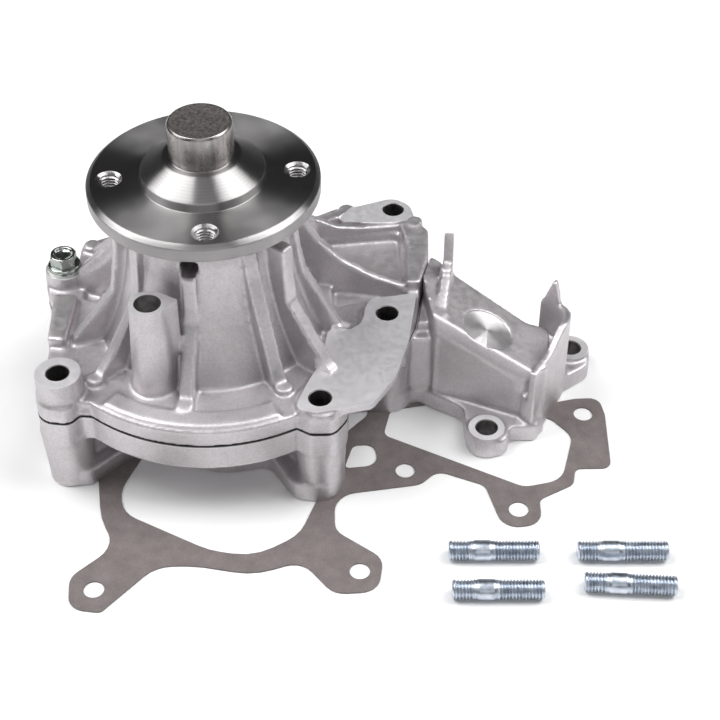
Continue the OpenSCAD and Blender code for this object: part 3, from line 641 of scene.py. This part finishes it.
def shaft(steel, rough_end, pilot):
    """The shaft, with its ground journal, relief, dark pilot stub, chamfers and rough sawn end."""
    low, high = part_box("shaft")
    top, foot = high.z / MM, low.z / MM
    cone, hub, race, tail = 124.5, 93, 46, 8
    profile = [(0, foot), (tail - 0.6, foot), (tail, foot + 0.6), (tail, race), (12.5, race), (12.5, 71.2),
               (12.1, 71.6), (12.1, 72.4), (12.5, 72.8), (12.5, hub), (12.6, hub + 0.3), (12.6, cone),
               (12.1, cone + 0.1), (12.1, cone + 1.1), (12.5, cone + 1.2), (12.5, top - 0.9),
               (11.8, top - 0.1), (11.4, top)]
    rim_rows = [(10.6, top - 0.12), (7.5, top - 0.3), (4.2, top - 0.38), (1.8, top - 0.3), (0, top - 0.28)]
    mesh = revolve("shaft_turned", soften(profile, 0.25) + rim_rows, 128)
    made = add_piece("shaft_turned", mesh, steel, rough_end, pilot)
    for face in mesh.polygons:
        if face.center.z > (cone + 0.1) * MM:
            face.material_index = 2
        if face.center.z > (top - 0.45) * MM and face.center.xy.length < 11.3 * MM:
            face.material_index = 1
    finish_shading(mesh, 40)
    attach(made, "rotor")
    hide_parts("shaft")


def stud(node, body, zinc):
    """A double-ended stud: a short thread, a plain waist and a long thread."""
    low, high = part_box(node)
    centre, length = (low + high) / 2, 35
    r, bulge, short, waist = 3.86, 4, 8.6, 8.8
    long_from = short + waist
    profile = [(0, 0), (r - 0.7, 0), (r - 0.1, 0.5), (r, 0.6), (r, short), (r - 0.25, short + 0.5),
               (bulge, short + 1.6), (bulge, long_from - 1.6), (r - 0.25, long_from - 0.5),
               (r, long_from), (r, length - 0.6), (r - 0.1, length - 0.5), (r - 0.7, length), (0, length)]
    cut = threaded(r, THREAD_PITCH, THREAD_DEPTH, [(0.3, short), (long_from, length - 0.3)])
    mesh = revolve(node + "_threaded", column_rows(profile, THREAD_PITCH / 9), 56, cut)
    mesh.transform(Matrix.Translation((0, 0, -length / 2 * MM)))
    mesh.transform(Matrix.Rotation(math.radians(90), 4, "Y"))
    mesh.transform(Matrix.Rotation(math.radians(STUD_TURNS[node]), 4, "Z"))
    mesh.transform(Matrix.Translation(centre))
    made = add_piece(node + "_threaded", mesh, zinc)
    finish_shading(mesh, 50)
    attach(made, body)
    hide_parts(node)


def hexagon(across_flats, rounding):
    """A reshape that turns round rows into a hexagon whose corners are cut off at the row's own radius."""
    def reshape(r, height, angle):
        turn = (angle + math.pi / 6) % (math.pi / 3) - math.pi / 6
        flat = across_flats / 2 / math.cos(turn)
        return min(r, flat) if r > rounding else r
    return reshape


def joint_bolts(zinc):
    """The two bolts of the housing joint: a round flange, a hexagon and a dished top."""
    low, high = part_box("joint_bolts")
    top, foot, seat = high.z / MM, low.z / MM, BOLT_SEAT + WASHER
    profile = [(0, foot), (2.4, foot), (2.95, foot + 0.8), (2.95, seat), (6.7, seat), (6.9, seat + 0.3),
               (6.8, seat + 0.9), (6.2, seat + 1.4), (5.65, seat + 1.6), (5.77, seat + 1.8),
               (5.77, top - 0.9), (5.1, top - 0.15), (4.6, top), (4.0, top - 0.1), (3.4, top - 0.9),
               (2.2, top - 1.3), (0, top - 1.4)]
    mesh = bpy.data.meshes.new("joint_bolts_hex")
    work = bmesh.new()
    rounded = soften(profile, 0.18, 2)
    hexed = hexagon(10, 4.9)
    def only_head(r, height, angle):
        return hexed(r, height, angle) if seat + 1.4 < height else r
    for spot in (LEFT_BOLT, HIDDEN_BOLT):
        one = revolve("bolt", column_rows(rounded, 1.0), 96, only_head)
        one.transform(Matrix.Translation((spot[0] * MM, spot[1] * MM, 0)))
        work.from_mesh(one)
        bpy.data.meshes.remove(one)
    work.to_mesh(mesh)
    work.free()
    made = add_piece("joint_bolts_hex", mesh, zinc)
    finish_shading(mesh, 24)
    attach(made, "housing")
    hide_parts("joint_bolts")


def dress(node, material, bevel_mm=0.0):
    """Gives a carried-over CAD node its material, and breaks its sharp edges."""
    piece = frame["nodes"][node]
    piece.data.materials.clear()
    piece.data.materials.append(material)
    if bevel_mm:
        modifier = piece.modifiers.new("edges", "BEVEL")
        modifier.width = bevel_mm * MM
        modifier.segments = 2
        modifier.limit_method = "ANGLE"
        modifier.angle_limit = math.radians(40)


# Studio -------------------------------------------------------------------------------

def add_softbox(name, place_at, aim, width, height, power):
    """A rectangular softbox pointing at aim."""
    data = bpy.data.lights.new(name, "AREA")
    data.shape = "RECTANGLE"
    data.size = width
    data.size_y = height
    data.energy = power
    light = bpy.data.objects.new(name, data)
    light.location = place_at
    light.rotation_euler = (Vector(aim) - Vector(place_at)).to_track_quat("-Z", "Y").to_euler()
    scene.collection.objects.link(light)


def add_studio(floor_material):
    """A white floor, a dim surround and softboxes above to the left and right."""
    world = bpy.data.worlds.new("surround")
    world.use_nodes = True
    world.node_tree.nodes["Background"].inputs["Color"].default_value = (0.05, 0.05, 0.053, 1)
    scene.world = world
    mesh = bpy.data.meshes.new("floor")
    work = bmesh.new()
    bmesh.ops.create_grid(work, x_segments=1, y_segments=1, size=3)
    work.to_mesh(mesh)
    work.free()
    floor = add_piece("floor", mesh, floor_material)
    floor.location.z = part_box("mounting_gasket")[0].z - 0.05 * MM
    aim = (0.04, -0.02, 0.02)
    add_softbox("left_box", (-0.75, 0.05, 1.15), aim, 0.9, 1.2, 16.5)
    add_softbox("right_box", (0.85, 0.05, 1.15), aim, 0.9, 1.2, 16.5)
    add_softbox("front_fill", (0.04, -1.6, 0.9), aim, 1.6, 0.7, 4)
    add_softbox("high_front", (0.04, -0.75, 1.25), aim, 0.7, 0.5, 1.2)
    scene.view_settings.view_transform = "Standard"


# The scene ----------------------------------------------------------------------------

add_camera()
finishes = (cast_aluminium(), machined_aluminium(), shaded_bore_aluminium())
steel = turned_steel()
cover_casting(finishes)
body_casting(finishes)
fan_flange(steel)
shaft(steel, sawn_steel(), ground_steel_stub())
stud_zinc = plain_metal("stud_zinc", (0.46, 0.51, 0.59), (0.70, 0.75, 0.82), 0.3, 0.42, 3, 0.5, 0.008)
for number in range(1, 5):
    stud(f"stud_{number}", f"loose_stud_{number}", stud_zinc)
bolt_zinc = plain_metal("bolt_zinc", (0.36, 0.39, 0.37), (0.54, 0.57, 0.54), 0.16, 0.26, 4, 1.2, 0.008)
joint_bolts(bolt_zinc)
dress("joint_washers", bolt_zinc, 0.2)
dress("mounting_gasket", gasket_fibre(), 0.12)
dress("joint_seal", dull_stuff("joint_sealant", (0.012, 0.012, 0.014), (0.03, 0.03, 0.032), 0.5, 0.8, 0.05))
ground = plain_metal("ground_steel", (0.52, 0.52, 0.53), (0.64, 0.64, 0.65), 0.16, 0.26, 6, 0.4, 0.003)
brass = plain_metal("cage_brass", (0.60, 0.42, 0.17), (0.78, 0.58, 0.27), 0.28, 0.4, 4, 0.5, 0.01)
rubber = dull_stuff("seal_rubber", (0.018, 0.018, 0.02), (0.035, 0.035, 0.036), 0.62, 0.5, 0.03)
carbon = dull_stuff("carbon", (0.03, 0.03, 0.033), (0.06, 0.06, 0.062), 0.42, 0.3, 0.01)
ceramic = dull_stuff("ceramic", (0.72, 0.70, 0.66), (0.82, 0.80, 0.77), 0.3, 0.4, 0.005)
iron = plain_metal("cast_iron", (0.10, 0.095, 0.09), (0.20, 0.19, 0.18), 0.5, 0.66, 5, 0.8, 0.12, 0.85)
for node in ("bearing_outer_ring", "bearing_balls", "bearing_rollers", "face_seal_spring"):
    dress(node, ground)
for node in ("ball_cage", "roller_cage", "face_seal_case"):
    dress(node, brass)
for node in ("bearing_seal_front", "bearing_seal_rear", "face_seal_bellows"):
    dress(node, rubber)
dress("carbon_ring", carbon)
dress("seat_ring", ceramic)
dress("impeller", iron)
add_studio(white_floor())
